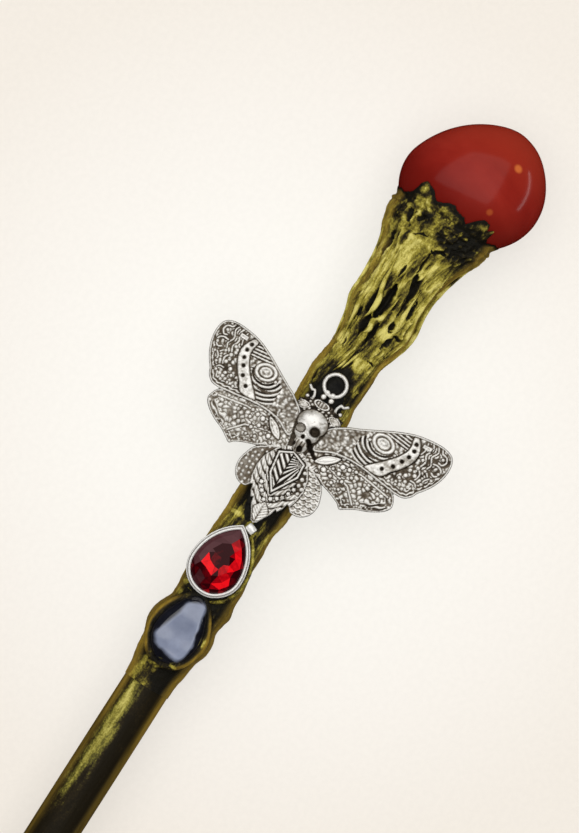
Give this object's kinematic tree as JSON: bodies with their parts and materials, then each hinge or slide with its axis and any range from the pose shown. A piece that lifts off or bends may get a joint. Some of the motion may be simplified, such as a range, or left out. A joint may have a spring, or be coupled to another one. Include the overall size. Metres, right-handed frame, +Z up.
{
  "type": "magic wand",
  "caption": "Slim wooden wand with a sculpted bark-like clay grip, a polished red stone pommel, a cast moth charm, a red pear-cut gem and a dark polished stone.",
  "frame": {"origin": "middle of the wand's bounding box in plan, at the height of the surface that the pommel stone lies on", "axes": "+X along the wand from the tip to the pommel, +Y across it to the left as the moth is seen with its head up, +Z up out of the moth's face"},
  "size_m": [0.3378, 0.0526, 0.0224],
  "materials": {
    "painted_wood": "dark brown-black satin paint with a worn gold stripe dry-brushed along it",
    "bark_clay": "polymer clay sculpted as bark, black in the hollows with gold-green dry-brushed ridges",
    "rim_clay": "polymer clay, nearly black with a faint gold edge",
    "red_stone": "polished carnelian, deep red with small orange flecks",
    "antique_silver": "cast silver-coloured alloy, bright on the ridges and oxidised dark in the recesses",
    "bezel_silver": "polished silver-coloured alloy, a little tarnished in the step",
    "red_glass": "faceted deep red glass",
    "dark_stone": "polished blue-black stone, mirror bright",
    "black_glue": "black epoxy",
    "clear_glue": "clear epoxy"
  },
  "bodies": {
    "root": {"shaft": "painted_wood", "grip_sleeve": "bark_clay", "pommel_cup": "bark_clay", "cup_rim": "rim_clay", "bark_strands": "bark_clay", "pommel_stone": "red_stone", "pommel_glue": "clear_glue", "moth_charm": "antique_silver", "moth_glue": "black_glue", "gem_setting": "bezel_silver", "gem": "red_glass", "gem_glue": "clear_glue", "setting_glue": "black_glue", "setting_lip": "bark_clay", "cabochon": "dark_stone", "cabochon_glue": "black_glue", "cabochon_collar": "rim_clay"}
  },
  "joints": []
}
